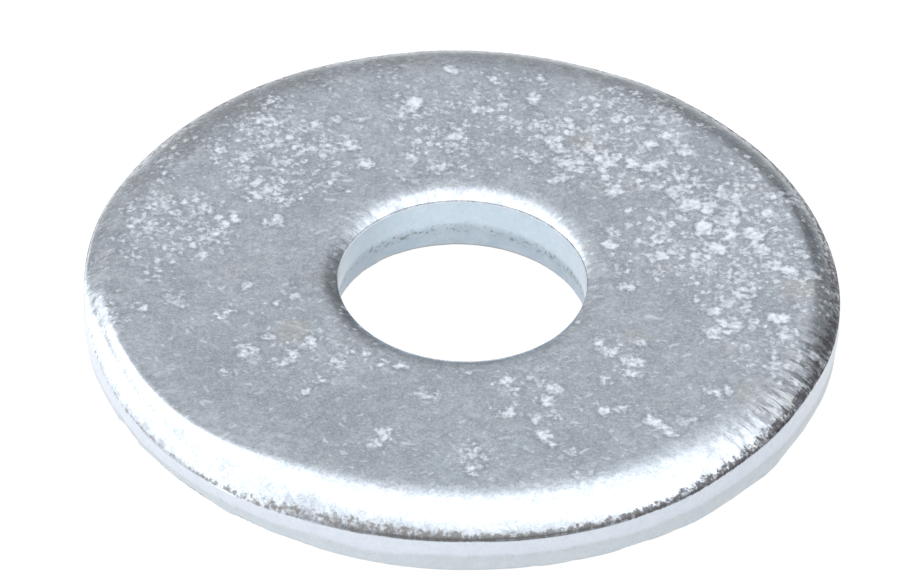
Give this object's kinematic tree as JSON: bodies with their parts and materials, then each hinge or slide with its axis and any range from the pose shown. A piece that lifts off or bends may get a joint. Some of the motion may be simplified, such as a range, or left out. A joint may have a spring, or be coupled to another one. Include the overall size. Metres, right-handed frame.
{
  "type": "flat washer",
  "caption": "Extra-large flat washer for an M10 bolt: a thick zinc-plated steel disc with a plain central bore and rolled-over punched edges.",
  "frame": {"origin": "centre of the lower face, on the bore's axis", "axes": "+Z along the bore's axis, from the lower face with the worn burr up to the face with the rolled-over edges"},
  "size_m": [0.034, 0.034, 0.003],
  "materials": {
    "zinc_plate": "bright barrel zinc plate, satin, with fine scratches and small tumbling dents"
  },
  "bodies": {
    "root": {"washer": "zinc_plate"}
  },
  "joints": []
}
